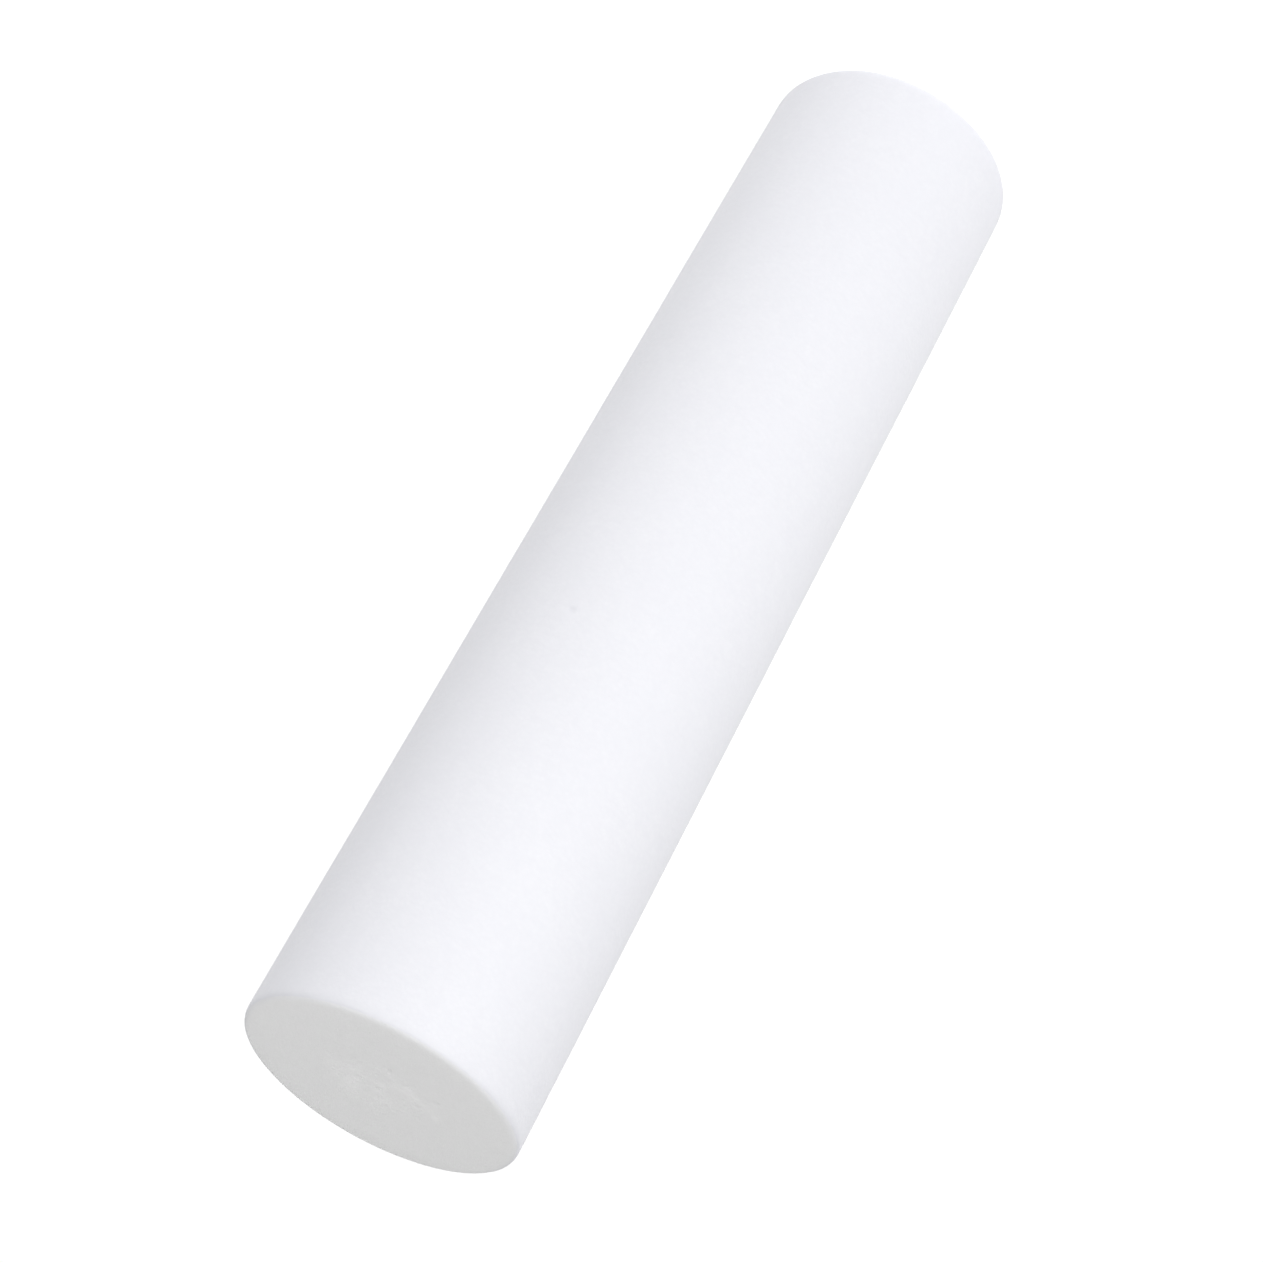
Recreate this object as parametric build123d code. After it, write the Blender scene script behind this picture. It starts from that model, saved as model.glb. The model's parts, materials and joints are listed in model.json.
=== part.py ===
"""Full-round foam roller, standing on one end.

A log of white closed-cell polyethylene foam, cut square at both ends with the cut edges eased.
The log is three concentric layers, bonded over their whole length when it is extruded:

  outer_skin  the dense, smooth skin that the die leaves on the outside
  foam_body   the fine-celled foam under the skin, which carries the load
  foam_core   the coarse-celled centre, where the foam cools last

Frame, in millimetres: Z runs up the axis of the log, from one end face to the other.
The origin is the centre of the bottom end face, which the log stands on.
"""

import os

from build123d import *

INCH = 25.4

# driving dimensions
OUTER_DIAMETER = 6.0 * INCH  # over the skin
LENGTH = 27.0 * INCH  # end face to end face
SKIN_THICKNESS = 1.0  # dense extruded skin
CORE_DIAMETER = 64.0  # coarse-celled centre, 0.42 of the outer diameter
EDGE_RADIUS = 3.5  # eased edge round each cut end

# derived dimensions
OUTER_RADIUS = OUTER_DIAMETER / 2
BODY_RADIUS = OUTER_RADIUS - SKIN_THICKNESS
CORE_RADIUS = CORE_DIAMETER / 2
OVERSHOOT = 10.0  # how far the cutting rods pass each end


def rod(radius, bottom, top):
    """A plain round rod on the axis of the log, between two heights."""
    upright = Cylinder(radius, top - bottom, align=(Align.CENTER, Align.CENTER, Align.MIN))
    return Pos(0, 0, bottom) * upright


def log():
    """The whole log, with both end edges eased."""
    blank = rod(OUTER_RADIUS, 0, LENGTH)
    end_edges = blank.edges().filter_by(GeomType.CIRCLE)
    return fillet(end_edges, EDGE_RADIUS)


whole = log()
under_skin = rod(BODY_RADIUS, -OVERSHOOT, LENGTH + OVERSHOOT)
centre = rod(CORE_RADIUS, -OVERSHOOT, LENGTH + OVERSHOOT)

layers = {
    "outer_skin": whole - under_skin,
    "foam_body": (whole & under_skin) - centre,
    "foam_core": whole & centre,
}

os.makedirs("parts", exist_ok=True)
for name, layer in layers.items():
    export_step(layer, f"parts/{name}.step")
    print(f"{name}: {len(layer.solids())} solid, {layer.volume:.0f} mm3")

print(f"end face flat radius {OUTER_RADIUS - EDGE_RADIUS:.1f} mm")
print(f"straight barrel {LENGTH - 2 * EDGE_RADIUS:.1f} mm")
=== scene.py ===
"""Full-round foam roller, standing on its end, as it looks.

The log rests on the floor at z = 0 with its axis up. Every piece is a closed mesh, built here in
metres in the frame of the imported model: the extruded skin, the fine-celled body and the
coarse-celled core. All three share one relief, so they meet without a step.
"""

import json
import math

import bpy
import numpy as np
from mathutils import Matrix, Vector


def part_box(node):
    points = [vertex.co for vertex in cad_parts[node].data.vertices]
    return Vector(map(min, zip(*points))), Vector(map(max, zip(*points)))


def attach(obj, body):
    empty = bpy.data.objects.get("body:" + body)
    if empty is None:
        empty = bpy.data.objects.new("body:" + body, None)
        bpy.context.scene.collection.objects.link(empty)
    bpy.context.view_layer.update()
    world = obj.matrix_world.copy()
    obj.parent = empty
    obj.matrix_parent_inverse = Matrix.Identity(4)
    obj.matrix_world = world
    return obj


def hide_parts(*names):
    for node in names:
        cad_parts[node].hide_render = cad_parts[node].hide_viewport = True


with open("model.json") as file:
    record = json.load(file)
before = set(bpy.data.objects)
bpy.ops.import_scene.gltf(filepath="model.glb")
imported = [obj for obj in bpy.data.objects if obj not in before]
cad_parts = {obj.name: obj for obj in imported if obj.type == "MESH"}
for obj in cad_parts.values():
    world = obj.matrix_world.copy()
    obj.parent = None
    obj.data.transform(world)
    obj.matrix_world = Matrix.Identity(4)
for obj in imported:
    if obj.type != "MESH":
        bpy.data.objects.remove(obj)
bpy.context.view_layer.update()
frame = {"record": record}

MM = 0.001
TAU = 2 * math.pi

# ---------------------------------------------------------------- sizes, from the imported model

mounts = {m["name"]: m for m in frame["record"]["mounts"]}
RADIUS = mounts["barrel"]["dims"]["r_mm"] * MM
LENGTH = mounts["top_face"]["pos_m"][2]
EDGE = (LENGTH - mounts["barrel"]["dims"]["length_mm"] * MM) / 2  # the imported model's round on the cut edge
EASE = 2.0 * EDGE  # how far the foam gives way on each side of that edge
POWER = 4.3  # makes a softer start than a plain round, with about the same amount off the corner
CORE = max(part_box("foam_core")[1][0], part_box("foam_core")[1][1])
SKIN = 1.0 * MM
UNDER_SKIN = RADIUS - SKIN
FLAT = RADIUS - EASE  # where the edge begins on each end
PILLOW, SINK = 18 * MM, 0.7 * MM  # each end also sinks a little towards the skin: over how far, and how much
LIP = math.asin(((UNDER_SKIN - FLAT) / EASE) ** (POWER / 2))  # where the skin ends on the eased edge

# ---------------------------------------------------------------- seeded noise


def scramble(*keys):
    """An even number from 0 to 1 for each set of whole numbers, the same on every run."""
    h = np.full(np.broadcast(*keys).shape, 2166136261, np.uint64)
    low = np.uint64(0xFFFFFFFF)
    for k in keys:
        h = ((h ^ (np.asarray(k).astype(np.int64).astype(np.uint64) & low)) * np.uint64(16777619)) & low
        h = ((h ^ (h >> np.uint64(15))) * np.uint64(739982445)) & low
        h ^= h >> np.uint64(12)
    return h.astype(float) / 4294967296.0


def noise(p, size, seed):
    """Smooth noise from -1 to 1 at points p, with features of about the given size."""
    q = p / size
    base = np.floor(q)
    t = q - base
    t = t * t * t * (t * (t * 6 - 15) + 10)
    i = base.astype(np.int64)
    total = np.zeros(len(p))
    for dx in (0, 1):
        for dy in (0, 1):
            for dz in (0, 1):
                w = (
                    (t[:, 0] if dx else 1 - t[:, 0])
                    * (t[:, 1] if dy else 1 - t[:, 1])
                    * (t[:, 2] if dz else 1 - t[:, 2])
                )
                total += w * scramble(i[:, 0] + dx, i[:, 1] + dy, i[:, 2] + dz, seed)
    return total * 2 - 1


def cloud(p, size, seed, octaves=3):
    """Noise at several sizes, each half the last."""
    total, weight = np.zeros(len(p)), 0.0
    for n in range(octaves):
        total += noise(p, size / 2**n, seed + 17 * n) / 2**n
        weight += 1 / 2**n
    return total / weight


def cells(xy, size, seed):
    """Distances to the nearest and second nearest of a field of scattered cell centres, and a number for the nearest cell. Distances are in cells."""
    q = xy / size
    i = np.floor(q).astype(np.int64)
    near = np.full(len(q), 9.0)
    second = near.copy()
    which = np.zeros(len(q))
    for dx in (-1, 0, 1):
        for dy in (-1, 0, 1):
            cx, cy = i[:, 0] + dx, i[:, 1] + dy
            px = cx + 0.1 + 0.8 * scramble(cx, cy, seed)
            py = cy + 0.1 + 0.8 * scramble(cx, cy, seed + 1)
            d = np.hypot(q[:, 0] - px, q[:, 1] - py)
            closer = d < near
            second = np.where(closer, near, np.minimum(second, d))
            which = np.where(closer, scramble(cx, cy, seed + 2), which)
            near = np.where(closer, d, near)
    return near, second, which


def ramp(x, low, high):
    t = np.clip((x - low) / (high - low), 0, 1)
    return t * t * (3 - 2 * t)


# ---------------------------------------------------------------- the relief shared by all pieces

# Small marks in the skin: azimuth in degrees, height, radius across and depth, all but the first in mm.
SKIN_MARKS = [
    (294.9, 430.9, 2.5, 0.30),  # the one clear pit on the front
    (248.0, 118.0, 5.5, 0.16),
    (322.0, 236.0, 8.0, 0.20),
    (211.0, 512.0, 7.0, 0.18),
    (20.0, 150.0, 2.4, 0.35),
    (41.0, 588.0, 9.0, 0.22),
    (87.0, 342.0, 6.0, 0.22),
    (112.0, 61.0, 3.0, 0.30),
    (139.0, 470.0, 10.0, 0.20),
    (163.0, 268.0, 2.2, 0.36),
]

# Denser, lighter patches where the foam of the core folded as it cooled: x, y, length and width in mm, turn in degrees.
FOLDS = {
    1: [
        (27.0, -1.4, 9.0, 6.0, 10.0),
        (15.0, -7.5, 9.0, 5.0, -12.0),
        (13.5, 12.0, 6.0, 17.0, 12.0),
        (0.5, -7.0, 6.5, 4.5, 8.0),
        (-3.4, 9.5, 5.5, 10.0, -14.0),
        (-12.0, -12.0, 10.0, 4.5, -10.0),
        (-21.5, -9.0, 13.0, 6.0, 18.0),
        (-31.0, -2.5, 7.0, 7.0, 10.0),
    ],
    -1: [
        (-16.0, 13.0, 13.0, 4.5, 38.0),
        (5.0, 19.0, 11.0, 4.0, -12.0),
        (18.0, 3.0, 4.5, 12.0, -20.0),
        (9.0, -14.0, 12.0, 4.5, 24.0),
        (-11.0, -11.0, 4.5, 11.0, 40.0),
        (-24.0, -3.0, 4.0, 8.0, 5.0),
    ],
}

# Small voids that the cut opened in the core: x, y, radius across and depth in mm.
VOIDS = {
    1: [(-0.1, 0.2, 2.8, 0.65), (11.5, -1.0, 2.5, 0.60), (-12.7, -20.0, 2.6, 0.50), (-28.0, -19.0, 2.8, 0.50), (0.3, -27.5, 2.6, 0.40), (30.0, -11.0, 2.2, 0.35)],
    -1: [(-3.0, 2.0, 2.8, 0.55), (7.0, -5.0, 1.9, 0.45), (13.0, 15.0, 1.7, 0.35), (-19.0, 6.0, 2.0, 0.40)],
}


def folds(xy, end):
    """How far each point of an end lies in a lighter fold of the core, from 0 to 1."""
    flat = np.column_stack([xy, np.zeros(len(xy))])
    warp = np.column_stack([cloud(flat, 9 * MM, 301 + end), cloud(flat, 9 * MM, 351 + end)])
    q = xy + 3.2 * MM * warp
    total = np.zeros(len(xy))
    for x, y, long, wide, turn in FOLDS[end]:
        c, s = math.cos(math.radians(turn)), math.sin(math.radians(turn))
        dx, dy = q[:, 0] - x * MM, q[:, 1] - y * MM
        a, b = (c * dx + s * dy) / (1.15 * long * MM / 2), (-s * dx + c * dy) / (1.35 * wide * MM / 2)
        total += np.exp(-(a * a + b * b))
    return np.clip(total, 0, 1)


def coarseness(xy, end):
    """How coarse the foam is, from 0 in the body to 1 in the core. It changes gradually and unevenly."""
    flat = np.column_stack([xy, np.full(len(xy), 0.3 * end)])
    r = np.hypot(xy[:, 0], xy[:, 1]) + 7 * MM * cloud(flat, 17 * MM, 73)
    return 1 - ramp(r, CORE - 10 * MM, CORE + 6 * MM)


def pit_shade_mask(p):
    """How deep each point of the round side lies in one of the small marks, from 0 to 1, as the mask for the shade
    painted into them.
    """
    around = np.arctan2(p[:, 1], p[:, 0])
    total = np.zeros(len(p))
    for azimuth, height, across, depth in SKIN_MARKS:
        if across < 4:
            d = (around - math.radians(azimuth) + math.pi) % TAU - math.pi
            far = np.hypot(d * RADIUS, p[:, 2] - height * MM) / (across * MM)
            total += depth / 0.35 * np.exp(-((far * 1.15) ** 3))
    return np.clip(total, 0, 1)


def skin_relief(p):
    """The relief of the round side, in metres outwards."""
    stretched = p * np.array([1, 1, 0.03])
    wrinkled = p * np.array([0.25, 0.25, 1])
    out = 0.13 * cloud(p, 110 * MM, 11, 2)  # slightly out of round
    out += 0.035 * cloud(p, 22 * MM, 23, 2)
    out += 0.020 * cloud(stretched, 6 * MM, 37, 2)  # lines drawn by the die
    out += 0.014 * cloud(wrinkled, 5 * MM, 41, 2)  # faint rings where the puller let it shrink
    out += 0.020 * cloud(p, 5.5 * MM, 53, 2)  # cells under the skin
    around = np.arctan2(p[:, 1], p[:, 0])
    for azimuth, height, across, depth in SKIN_MARKS:
        d = (around - math.radians(azimuth) + math.pi) % TAU - math.pi
        far = np.hypot(d * RADIUS, p[:, 2] - height * MM) / (across * MM)
        out -= depth * np.exp(-((far * 1.2) ** 2.6))
    return out * MM


def end_relief(p, end):
    """The relief of a cut end, in metres outwards."""
    xy = p[:, :2]
    r = np.hypot(xy[:, 0], xy[:, 1])
    flat = np.column_stack([xy, np.full(len(xy), 0.3 * end)])
    turn = math.radians(24 if end > 0 else -37)
    along = math.cos(turn) * xy[:, 0] + math.sin(turn) * xy[:, 1]
    bowed = along + 5 * MM * noise(flat, 90 * MM, 61) + 0.6 * MM * noise(flat, 12 * MM, 63)
    out = 0.10 * cloud(flat, 60 * MM, 67, 2)  # the blade wandered
    out += 0.012 * np.sin(bowed * TAU / (3.4 * MM)) * (0.6 + 0.4 * noise(flat, 25 * MM, 71))
    coarse = coarseness(xy, end)
    wander = np.column_stack([noise(flat, 3 * MM, 79), noise(flat, 3 * MM, 83)]) * 0.5 * MM
    near, second, _ = cells(xy + wander, 2.1 * MM, 89)
    fine = -0.050 * (1 - np.clip(near * 1.3, 0, 1) ** 2) + 0.015 * (1 - ramp(second - near, 0, 0.3))
    near, second, tall = cells(xy + wander * 1.6, 3.1 * MM, 97)
    big = -0.09 * (1 - np.clip(near * 1.2, 0, 1) ** 2) * (0.5 + tall) + 0.025 * (1 - ramp(second - near, 0, 0.25))
    out += (1 - coarse) * fine + coarse * big
    out += 0.12 * folds(xy, end) - 0.04 * coarse
    for x, y, across, depth in VOIDS[end]:
        far = np.hypot(xy[:, 0] - x * MM, xy[:, 1] - y * MM) / (across * MM)
        out -= 0.6 * depth * np.exp(-((far * 1.1) ** 2.4))
    return out * MM


def place(p, n):
    """Moves points of the plain log along their normals by the relief, which changes smoothly from the ends to the side."""
    end_share = ramp(np.abs(n[:, 2]), 0.35, 0.96)
    out = (1 - end_share) * skin_relief(p)
    for end in (-1, 1):
        here = (n[:, 2] * end > 0.3) & (end_share > 0)
        if here.any():
            out[here] += end_share[here] * end_relief(p[here], end)
    hem = 0.16 * cloud(p, 16 * MM, 101, 2) * MM * 4 * end_share * (1 - end_share)  # an edge eased by hand
    # The bottom end is pressed flat where it stands.
    standing = ramp(-n[:, 2], 0.9, 1.0)
    out = (out + hem) * (1 - 0.8 * standing) - 0.04 * MM * standing
    q = p + n * out[:, None]
    q[:, 2] = np.clip(q[:, 2], 0.0, None)
    return q


# ---------------------------------------------------------------- mesh building


def sunk(r):
    """How far an end has sunk at a radius, and its slope there."""
    x = max(0.0, (r - RADIUS + PILLOW) / PILLOW)
    return SINK * x * x, 2 * SINK * x / PILLOW


def profile(t):
    """Radius, depth below the end plane and normal of the eased edge, at turn t from the flat to the side."""
    u, v = math.sin(t) ** (2 / POWER), max(math.cos(t), 0.0) ** (2 / POWER)
    nr, nz = u ** (POWER - 1), v ** (POWER - 1)
    deeper, slope = sunk(FLAT + EASE * u)
    nr += nz * slope
    size = math.hypot(nr, nz)
    return FLAT + EASE * u, EASE * (1 - v) + deeper, nr / size, nz / size


def edge_turns(low, high, count):
    """Turns from low to high that divide the edge evenly, by its length and by how much it bends."""
    t = np.linspace(0, math.pi / 2, 6001)
    r, down, nr, nz = np.array([profile(x) for x in t]).T
    along = np.concatenate([[0], np.cumsum(np.hypot(np.diff(r), np.diff(down)))]) / (1.4 * MM)
    along += np.arctan2(nr, nz) / math.radians(7)
    ends = np.interp([low, high], t, along)
    turns = np.interp(np.linspace(*ends, count), along, t)
    turns[0], turns[-1] = low, high
    return turns


def even(count):
    return np.arange(count) * TAU / count


def ring(radius, z, nr, nz, angles):
    c, s = np.cos(angles), np.sin(angles)
    p = np.column_stack([radius * c, radius * s, np.full(len(angles), z)])
    n = np.column_stack([nr * c, nr * s, np.full(len(angles), nz)])
    return p, n


def uneven(low, high, step, marks):
    """Numbers from low to high, about a step apart, and closer where there are marks of (place, reach, step)."""
    x = np.linspace(low, high, 20001)
    density = np.full(len(x), 1 / step)
    for place_, reach, fine in marks:
        share = 1 - ramp(np.abs(x - place_), reach, 2.2 * reach)
        density = np.maximum(density, 1 / step + share * (1 / fine - 1 / step))
    total = np.concatenate([[0], np.cumsum((density[1:] + density[:-1]) / 2 * np.diff(x))])
    return np.interp(np.linspace(0, total[-1], round(total[-1]) + 1), total, x)


def stitched(first, second, count):
    """Quads between two rings of points, given where each ring starts."""
    a = np.arange(count)
    b = (a + 1) % count
    return np.column_stack([first + a, first + b, second + b, second + a])


def build(name, points, quads, material, attributes=()):
    mesh = bpy.data.meshes.new(name)
    mesh.from_pydata(points.tolist(), [], quads.tolist())
    mesh.validate()
    mesh.update()
    for key, values in attributes:
        layer = mesh.attributes.new(key, "FLOAT", "POINT")
        layer.data.foreach_set("value", values.astype(np.float32))
    mesh.shade_smooth()
    mesh.set_sharp_from_angle(angle=math.radians(42))
    piece = bpy.data.objects.new(name, mesh)
    bpy.context.scene.collection.objects.link(piece)
    mesh.materials.append(material)
    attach(piece, "root")
    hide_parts(name)
    return piece


def closed(rings, count):
    """Points, normals and quads of a ring-shaped solid whose section is the given closed chain of rings."""
    points = np.vstack([p for p, _ in rings])
    normals = np.vstack([n for _, n in rings])
    quads = np.vstack([stitched(k * count, ((k + 1) % len(rings)) * count, count) for k in range(len(rings))])
    return points, normals, quads


def build_skin(material):
    near = [(h * MM, w * MM, max(0.65, w / 3.2) * MM) for _, h, w, _ in SKIN_MARKS]
    heights = uneven(EASE + SINK, LENGTH - EASE - SINK, 3.7 * MM, near)
    small = [(math.radians(az), w * MM / RADIUS, 0.7 * MM / RADIUS) for az, _, w, _ in SKIN_MARKS if w < 4]
    angles = uneven(0, TAU, 1.6 * MM / RADIUS, small)[:-1]
    count = len(angles)
    chain = []
    turns = edge_turns(LIP, math.pi / 2, 11)
    for t in turns:
        r, down, nr, nz = profile(t)
        chain.append((r, LENGTH - down, nr, nz))
    chain += [(RADIUS, z, 1, 0) for z in heights[-2:0:-1]]
    for t in turns[::-1]:
        r, down, nr, nz = profile(t)
        chain.append((r, down, nr, -nz))
    outside = len(chain)
    chain += [(UNDER_SKIN, z, -1, 0) for z in np.linspace(chain[-1][1], chain[0][1], 8)[1:-1]]
    p, n, quads = closed([ring(*link, angles) for link in chain], count)
    shown = np.arange(len(p)) < outside * count
    moved = p.copy()
    moved[shown] = place(p[shown], n[shown])
    # The mask of the shade painted into the small pits.
    pit_shade = np.where(shown, pit_shade_mask(p), 0)
    return build("outer_skin", moved, quads[:, ::-1], material, [("pit_shade", pit_shade)])


def build_body(material):
    count = 600
    chain = []
    flat = np.linspace(CORE, FLAT, 57)
    turns = edge_turns(0, LIP, 15)[1:]
    for end in (1, -1):
        half = []
        for r in flat:
            down, slope = sunk(r)
            size = math.hypot(1, slope)
            half.append((r, LENGTH - down if end > 0 else down, slope / size, end / size))
        for t in turns:
            r, down, nr, nz = profile(t)
            half.append((r, LENGTH - down if end > 0 else down, nr, nz * end))
        if end < 0:
            low = half[-1][1]
            high = chain[-1][1]
            chain += [(UNDER_SKIN, z, 1, 0, "wall") for z in np.linspace(high, low, 8)[1:-1]]
            half = half[::-1]
        chain += [(*h, "end") for h in half]
    chain += [(CORE, z, -1, 0, "wall") for z in np.linspace(0, LENGTH, 8)[1:-1]]
    p, n, quads = closed([ring(*link[:4], even(count)) for link in chain], count)
    shown = np.repeat([link[4] == "end" for link in chain], count)
    moved = p.copy()
    moved[shown] = place(p[shown], n[shown])
    fold, coarse = np.zeros(len(p)), np.zeros(len(p))
    for end in (1, -1):
        here = shown & (n[:, 2] * end > 0.3)
        fold[here], coarse[here] = folds(p[here, :2], end), coarseness(p[here, :2], end)
    return build("foam_body", moved, quads[:, ::-1], material, [("fold", fold), ("coarse", coarse)])


def disc_points(cells_across):
    """A square grid bent into a disc of radius 1, and the order of its rim from azimuth 0."""
    s = np.linspace(-1, 1, cells_across + 1)
    a, b = np.meshgrid(s, s, indexing="ij")
    wide = np.abs(a) > np.abs(b)
    r = np.where(wide, a, b)
    with np.errstate(divide="ignore", invalid="ignore"):
        phi = np.where(wide, math.pi / 4 * b / a, math.pi / 2 - math.pi / 4 * a / b)
    phi = np.nan_to_num(phi)
    x, y = r * np.cos(phi), r * np.sin(phi)
    n = cells_across
    index = np.arange((n + 1) ** 2).reshape(n + 1, n + 1)
    rim = np.concatenate([index[n, n // 2 : n], index[n:0:-1, n], index[0, n:0:-1], index[0:n, 0], index[n, 0 : n // 2]])
    return np.column_stack([x.ravel(), y.ravel()]), index, rim


def build_core(material):
    across = 150
    xy, index, rim = disc_points(across)
    count = len(rim)
    quads_flat = np.column_stack(
        [index[:-1, :-1].ravel(), index[1:, :-1].ravel(), index[1:, 1:].ravel(), index[:-1, 1:].ravel()]
    )
    size = len(xy)
    blocks, faces = [], []
    for k, (z, end) in enumerate(((LENGTH, 1), (0.0, -1))):
        p = np.column_stack([xy * CORE, np.full(size, z)])
        n = np.tile([0.0, 0.0, float(end)], (size, 1))
        blocks.append(place(p, n))
        faces.append((quads_flat if end > 0 else quads_flat[:, ::-1]) + k * size)
    rows = [rim]
    start = 2 * size
    for z in np.linspace(LENGTH, 0, 8)[1:-1]:
        blocks.append(np.column_stack([xy[rim] * CORE, np.full(count, z)]))
        rows.append(start + np.arange(count))
        start += count
    rows.append(size + rim)
    for top, bottom in zip(rows, rows[1:]):
        faces.append(np.column_stack([np.roll(top, -1), top, bottom, np.roll(bottom, -1)]))
    fold, coarse = np.zeros(start), np.ones(start)
    for k, end in enumerate((1, -1)):
        fold[k * size : (k + 1) * size] = folds(xy * CORE, end)
        coarse[k * size : (k + 1) * size] = coarseness(xy * CORE, end)
    return build("foam_core", np.vstack(blocks), np.vstack(faces), material, [("fold", fold), ("coarse", coarse)])


# ---------------------------------------------------------------- materials


class Nodes:
    """A short way to write a node tree."""

    def __init__(self, name):
        self.material = bpy.data.materials.new(name)
        self.material.use_nodes = True
        self.tree = self.material.node_tree
        self.shader = self.tree.nodes["Principled BSDF"]
        self.place = self.add("ShaderNodeTexCoord").outputs["Object"]

    def add(self, kind, **settings):
        node = self.tree.nodes.new(kind)
        for key, value in settings.items():
            setattr(node, key, value)
        return node

    def link(self, source, target):
        self.tree.links.new(source, target)

    def noise(self, size, detail=3.0, stretch=(1, 1, 1), roughness=0.5):
        spread = self.add("ShaderNodeMapping")
        spread.inputs["Scale"].default_value = [k / size for k in stretch]
        self.link(self.place, spread.inputs["Vector"])
        node = self.add("ShaderNodeTexNoise")
        node.inputs["Scale"].default_value = 1.0
        node.inputs["Detail"].default_value = detail
        node.inputs["Roughness"].default_value = roughness
        self.link(spread.outputs["Vector"], node.inputs["Vector"])
        return node.outputs["Fac"]

    def attribute(self, name):
        return self.add("ShaderNodeAttribute", attribute_name=name).outputs["Fac"]

    def radial(self):
        """Distance from the log's axis, and the node that splits up the place."""
        split = self.add("ShaderNodeSeparateXYZ")
        self.link(self.place, split.inputs[0])
        return self.math("SQRT", self.math("ADD", self.square(split.outputs["X"]), self.square(split.outputs["Y"])), 0), split

    def painted_rim_shade(self, reach, most):
        """A number that grows from 0, at the given reach from either cut edge, to the most where the skin begins. It
        masks the shade painted along the cut edges.
        """
        flat, split = self.radial()
        inward = self.math("SUBTRACT", RADIUS, flat)
        middle = self.math("ABSOLUTE", self.math("SUBTRACT", split.outputs["Z"], LENGTH / 2), 0)
        below = self.math("SUBTRACT", LENGTH / 2, middle)
        edge = self.spread(self.math("MAXIMUM", inward, below), 1.0 * MM, reach, 1, 0)
        return self.spread(self.square(edge), 0, 1, 0, most)

    def square(self, value):
        return self.math("MULTIPLY", value, value)

    def cells(self, size, warp=0.0):
        source = self.place
        if warp:
            wander = self.add("ShaderNodeTexNoise")
            wander.inputs["Scale"].default_value = 0.7 / size
            self.link(self.place, wander.inputs["Vector"])
            shift = self.add("ShaderNodeVectorMath", operation="MULTIPLY_ADD")
            shift.inputs[1].default_value = (warp * size,) * 3
            self.link(wander.outputs["Color"], shift.inputs[0])
            self.link(self.place, shift.inputs[2])
            source = shift.outputs["Vector"]
        node = self.add("ShaderNodeTexVoronoi")
        node.inputs["Scale"].default_value = 1 / size
        self.link(source, node.inputs["Vector"])
        return node

    def math(self, operation, a, b):
        node = self.add("ShaderNodeMath", operation=operation)
        for socket, value in zip(node.inputs, (a, b)):
            if isinstance(value, (int, float)):
                socket.default_value = value
            else:
                self.link(value, socket)
        return node.outputs[0]

    def spread(self, value, low, high, to_low, to_high):
        node = self.add("ShaderNodeMapRange")
        for key, number in (("From Min", low), ("From Max", high), ("To Min", to_low), ("To Max", to_high)):
            node.inputs[key].default_value = number
        self.link(value, node.inputs["Value"])
        return node.outputs["Result"]

    def blend(self, share, a, b):
        node = self.add("ShaderNodeMix", data_type="RGBA")
        self.link(share, node.inputs["Factor"])
        for key, value in (("A", a), ("B", b)):
            socket = next(s for s in node.inputs if s.name == key and s.type == "RGBA")
            if isinstance(value, tuple):
                socket.default_value = (*value, 1)
            else:
                self.link(value, socket)
        return next(s for s in node.outputs if s.type == "RGBA")

    def mixed(self, share, a, b):
        node = self.add("ShaderNodeMix", data_type="FLOAT")
        self.link(share, node.inputs[0])
        self.link(a, node.inputs[2])
        self.link(b, node.inputs[3])
        return node.outputs[0]

    def bump(self, height, distance, strength, under=None):
        node = self.add("ShaderNodeBump")
        node.inputs["Distance"].default_value = distance
        node.inputs["Strength"].default_value = strength
        self.link(height, node.inputs["Height"])
        if under is not None:
            self.link(under, node.inputs["Normal"])
        return node.outputs["Normal"]

    def foam(self, color, roughness, normal, scatter, depth):
        s = self.shader
        self.link(color, s.inputs["Base Color"])
        self.link(roughness, s.inputs["Roughness"])
        self.link(normal, s.inputs["Normal"])
        s.inputs["IOR"].default_value = 1.5
        if isinstance(scatter, (int, float)):
            s.inputs["Subsurface Weight"].default_value = scatter
        else:
            self.link(scatter, s.inputs["Subsurface Weight"])
        s.inputs["Subsurface Radius"].default_value = (1.0, 0.96, 1.0)
        s.inputs["Subsurface Scale"].default_value = depth
        return self.material


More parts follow.
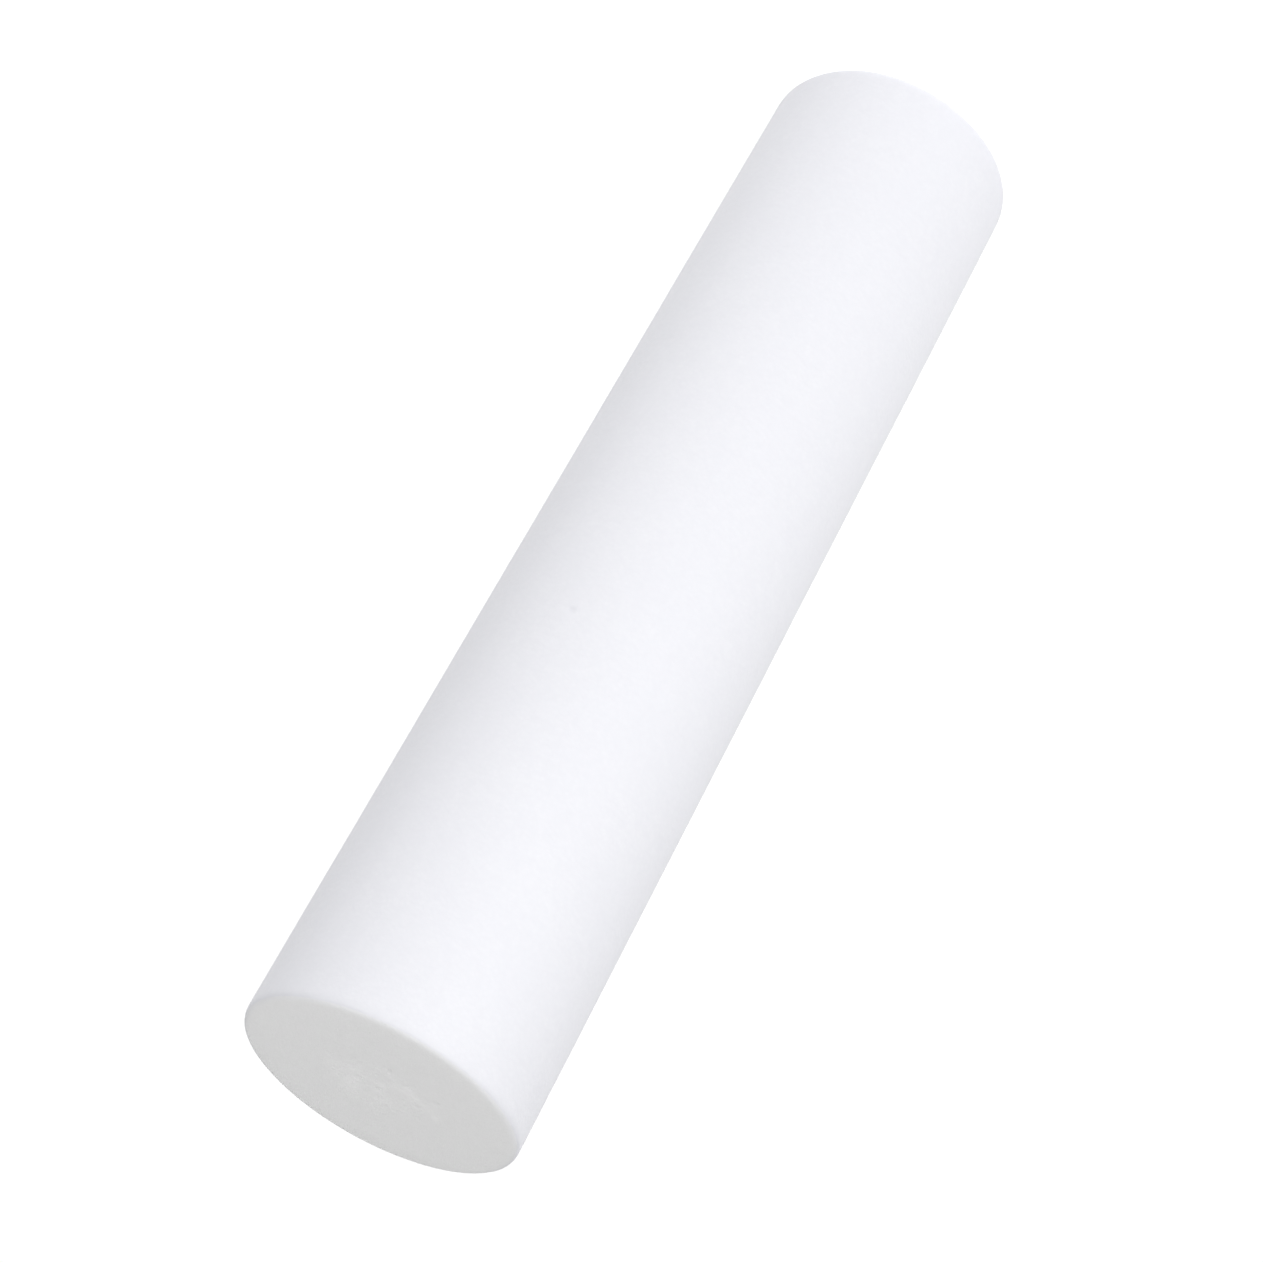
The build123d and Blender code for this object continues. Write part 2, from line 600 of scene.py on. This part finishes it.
def skin_material():
    """Smooth, dense polyethylene skin: satin, with cells showing faintly through it and lines along the log."""
    m = Nodes("skin_foam")
    patches = m.noise(38 * MM, 4)
    mottle = m.noise(5.5 * MM, 3)
    under = m.cells(2.6 * MM, warp=0.8).outputs["Distance"]
    streaks = m.noise(3.2 * MM, 4, stretch=(1, 1, 0.035))
    color = m.blend(m.spread(patches, 0.3, 0.7, 0, 1), (0.858, 0.861, 0.904), (0.874, 0.877, 0.915))
    color = m.blend(m.spread(mottle, 0.35, 0.65, 0, 0.55), color, (0.842, 0.845, 0.889))
    color = m.blend(m.spread(under, 0.1, 0.9, 0, 0.55), color, (0.838, 0.841, 0.886))
    # Painted shade: the round side is darkened within 8 mm of each cut edge, standing in for the soft shading where the
    # side turns into the end.
    color = m.blend(m.painted_rim_shade(8 * MM, 0.4), color, (0.836, 0.839, 0.878))
    # Painted shade: the small pits are darkened, standing in for the shade that falls inside them.
    color = m.blend(m.spread(m.attribute("pit_shade"), 0, 1, 0, 0.24), color, (0.720, 0.726, 0.780))
    rough = m.math("ADD", m.spread(streaks, 0.3, 0.7, 0.45, 0.56), m.spread(patches, 0.3, 0.7, -0.03, 0.04))
    pores = m.cells(0.85 * MM, warp=0.6).outputs["Distance"]
    normal = m.bump(m.spread(pores, 0.0, 0.8, 1, 0), 0.05 * MM, 0.40)
    normal = m.bump(under, 0.16 * MM, 0.40, normal)
    normal = m.bump(streaks, 0.10 * MM, 0.40, normal)
    return m.foam(color, rough, normal, 0.0, 1.0 * MM)


def cut_material(name):
    """Cut foam: matte, each open cell a shallow bowl of its own shade, with thin pale walls between. The cells are larger where the foam is coarse."""
    m = Nodes(name)
    coarse, fold = m.attribute("coarse"), m.attribute("fold")
    shades, bowls = [], []
    for size in (1.05 * MM, 1.75 * MM):
        cell = m.cells(size, warp=0.7)
        shade = m.add("ShaderNodeSeparateColor")
        m.link(cell.outputs["Color"], shade.inputs["Color"])
        shades.append(shade.outputs["Red"])
        bowls.append(cell.outputs["Distance"])
    shade = m.mixed(coarse, *shades)
    bowl = m.mixed(coarse, *bowls)
    clouds = m.noise(9 * MM, 4)
    color = m.blend(shade, (0.877, 0.877, 0.877), (0.903, 0.903, 0.903))
    color = m.blend(m.spread(clouds, 0.35, 0.65, 0, 0.45), color, (0.906, 0.906, 0.906))
    color = m.blend(m.spread(bowl, 0.50, 0.80, 0.0, 0.45), color, (0.920, 0.920, 0.920))
    color = m.blend(m.spread(coarse, 0, 1, 0, 0.12), color, (0.935, 0.935, 0.933))
    color = m.blend(m.spread(fold, 0, 1, 0, 1.0), color, (0.938, 0.938, 0.935))
    # Painted shade: the cut end is darkened slightly and takes the skin's bluish tint within 5 mm of the edge, so the
    # step in light at the rim looks soft.
    color = m.blend(m.painted_rim_shade(5 * MM, 1.0), color, (0.862, 0.864, 0.884))
    rough = m.spread(shade, 0, 1, 0.68, 0.86)
    grain = m.noise(0.35 * MM, 2)
    normal = m.bump(m.square(bowl), 0.22 * MM, 0.40)
    normal = m.bump(grain, 0.03 * MM, 0.35, normal)
    # Light spreads inside the foam, but not close to where one piece meets the next: it would be lost between them.
    flat, _ = m.radial()
    from_core = m.math("ABSOLUTE", m.math("SUBTRACT", flat, CORE), 0)
    from_skin = m.math("SUBTRACT", UNDER_SKIN, flat)
    spreading = m.spread(m.math("MINIMUM", from_core, from_skin), 1 * MM, 9 * MM, 0, 0.35)
    return m.foam(color, rough, normal, spreading, 2.5 * MM)


# ---------------------------------------------------------------- the pieces

build_skin(skin_material())
build_body(cut_material("body_foam"))
build_core(cut_material("core_foam"))

# ---------------------------------------------------------------- floor, lights and camera


def floor(glow):
    """A wide pale floor, lit from below like a light table, so that it reads as plain white."""
    side = 14.0
    mesh = bpy.data.meshes.new("floor")
    mesh.from_pydata([(-side, -side, 0), (side, -side, 0), (side, side, 0), (-side, side, 0)], [], [(0, 1, 2, 3)])
    mat = bpy.data.materials.new("floor")
    mat.use_nodes = True
    tree = mat.node_tree
    s = tree.nodes["Principled BSDF"]
    s.inputs["Base Color"].default_value = (0.8, 0.8, 0.8, 1)
    s.inputs["Roughness"].default_value = 1.0
    s.inputs["Specular IOR Level"].default_value = 0.0
    s.inputs["Emission Color"].default_value = (1, 1, 1, 1)
    s.inputs["Emission Strength"].default_value = glow
    mesh.materials.append(mat)
    o = bpy.data.objects.new("floor", mesh)
    bpy.context.scene.collection.objects.link(o)


def sky(strength, seen):
    """Even light from all round, which shows as a paler ground behind the floor."""
    world = bpy.data.worlds.new("studio")
    world.use_nodes = True
    tree = world.node_tree
    lit = tree.nodes["Background"]
    lit.inputs["Color"].default_value = (1, 1, 1, 1)
    lit.inputs["Strength"].default_value = strength
    ground = tree.nodes.new("ShaderNodeBackground")
    ground.inputs["Strength"].default_value = seen
    path = tree.nodes.new("ShaderNodeLightPath")
    mix = tree.nodes.new("ShaderNodeMixShader")
    tree.links.new(path.outputs["Is Camera Ray"], mix.inputs["Fac"])
    tree.links.new(lit.outputs["Background"], mix.inputs[1])
    tree.links.new(ground.outputs["Background"], mix.inputs[2])
    tree.links.new(mix.outputs["Shader"], tree.nodes["World Output"].inputs["Surface"])
    bpy.context.scene.world = world


def softbox(name, azimuth, distance, height, aim, width, tall, power):
    """A soft square light at an azimuth round the log, aimed at a height on its axis."""
    light = bpy.data.lights.new(name, "AREA")
    light.shape = "RECTANGLE"
    light.size, light.size_y, light.energy = width, tall, power
    o = bpy.data.objects.new(name, light)
    a = math.radians(azimuth)
    where = np.array([distance * math.cos(a), distance * math.sin(a), height])
    back = where - np.array([0, 0, aim])
    back /= np.linalg.norm(back)
    side = np.cross([0, 0, 1], back) if abs(back[2]) < 0.999 else np.array([1.0, 0, 0])
    side /= np.linalg.norm(side)
    up = np.cross(back, side)
    o.matrix_world = Matrix([[side[i], up[i], back[i], where[i]] for i in range(3)] + [[0, 0, 0, 1]])
    bpy.context.scene.collection.objects.link(o)
    return o


floor(0.745)
sky(0.235, 0.93)
softbox("key", 245, 2.6, 1.1, 0.40, 1.4, 1.4, 22.0)
softbox("side", 300, 2.2, 2.0, 0.34, 1.4, 1.4, 9.5)
softbox("overhead", 270, 0.01, 2.6, 0.34, 0.3, 0.3, 13.0)
softbox("rear", 80, 3.8, 1.5, 0.34, 1.8, 1.4, 3.0)
bpy.context.scene.view_settings.view_transform = "Standard"

lens = bpy.data.cameras.new("camera")
lens.lens, lens.sensor_width = 85.85, 36.0
lens.clip_start, lens.clip_end = 0.05, 60.0
camera = bpy.data.objects.new("camera", lens)
right, up, back = (-0.875803, -0.251594, -0.411909), (0.482669, -0.456076, -0.747680), (0.000250, -0.853636, 0.520869)
where = (0.0, -1.405580, 1.240270)
camera.matrix_world = Matrix([[right[i], up[i], back[i], where[i]] for i in range(3)] + [[0, 0, 0, 1]])
bpy.context.scene.collection.objects.link(camera)
bpy.context.scene.camera = camera

bpy.context.view_layer.update()
